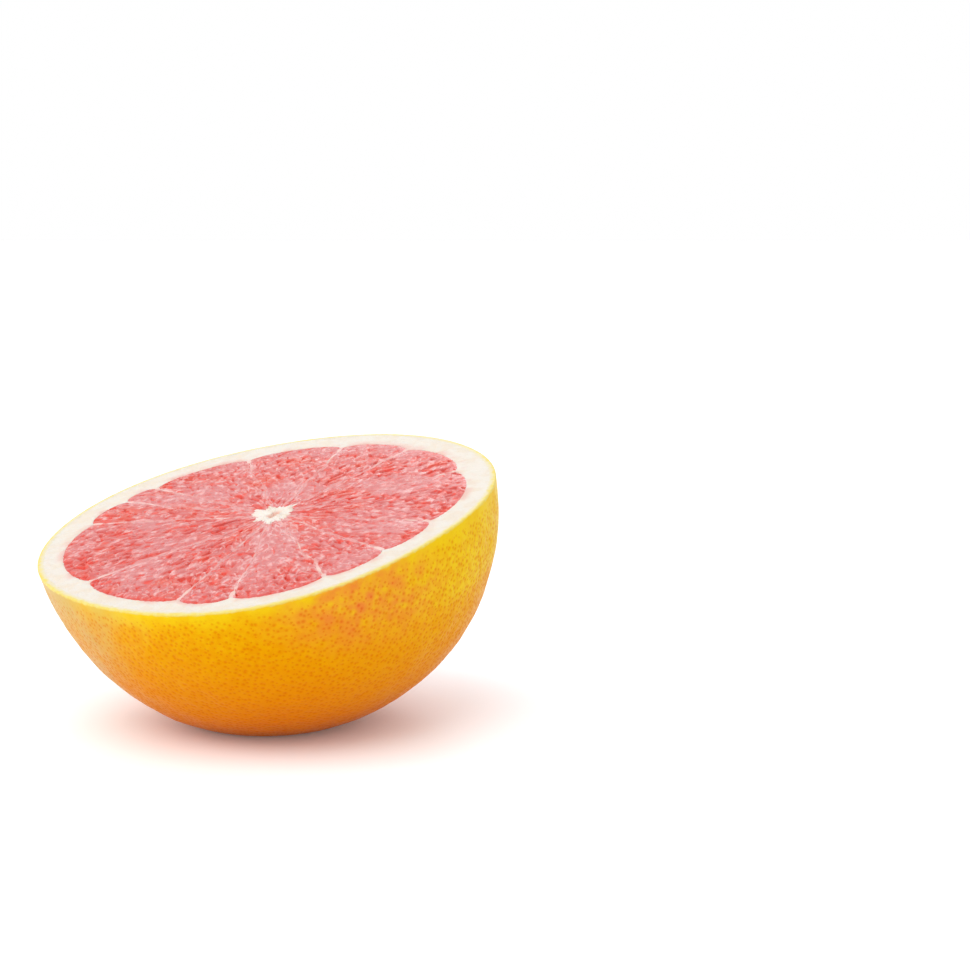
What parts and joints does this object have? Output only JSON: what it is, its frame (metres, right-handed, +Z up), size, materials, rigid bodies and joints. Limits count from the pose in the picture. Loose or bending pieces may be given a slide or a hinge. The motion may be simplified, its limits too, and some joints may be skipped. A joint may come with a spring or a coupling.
{
  "type": "halved grapefruit",
  "caption": "Half of a pink grapefruit, cut across its segments, lying on its rounded peel with the cut face tipped forward.",
  "frame": {"origin": "middle of the flat spot of peel that the half rests on", "axes": "+Z up, away from the surface it rests on; -Y is the side that the cut face is tipped towards, with a little of -X; +X to the right seen from there"},
  "size_m": [0.1042, 0.1032, 0.061],
  "materials": {
    "zest": "waxy, finely pored peel, orange-yellow",
    "pith": "spongy, matt, cream white",
    "pulp": "wet, translucent, coral red juice sacs"
  },
  "bodies": {
    "root": {"zest": "zest", "pith": "pith", "segment_01": "pulp", "segment_02": "pulp", "segment_03": "pulp", "segment_04": "pulp", "segment_05": "pulp", "segment_06": "pulp", "segment_07": "pulp", "segment_08": "pulp", "segment_09": "pulp", "segment_10": "pulp", "segment_11": "pulp", "segment_12": "pulp", "segment_13": "pulp"}
  },
  "joints": []
}
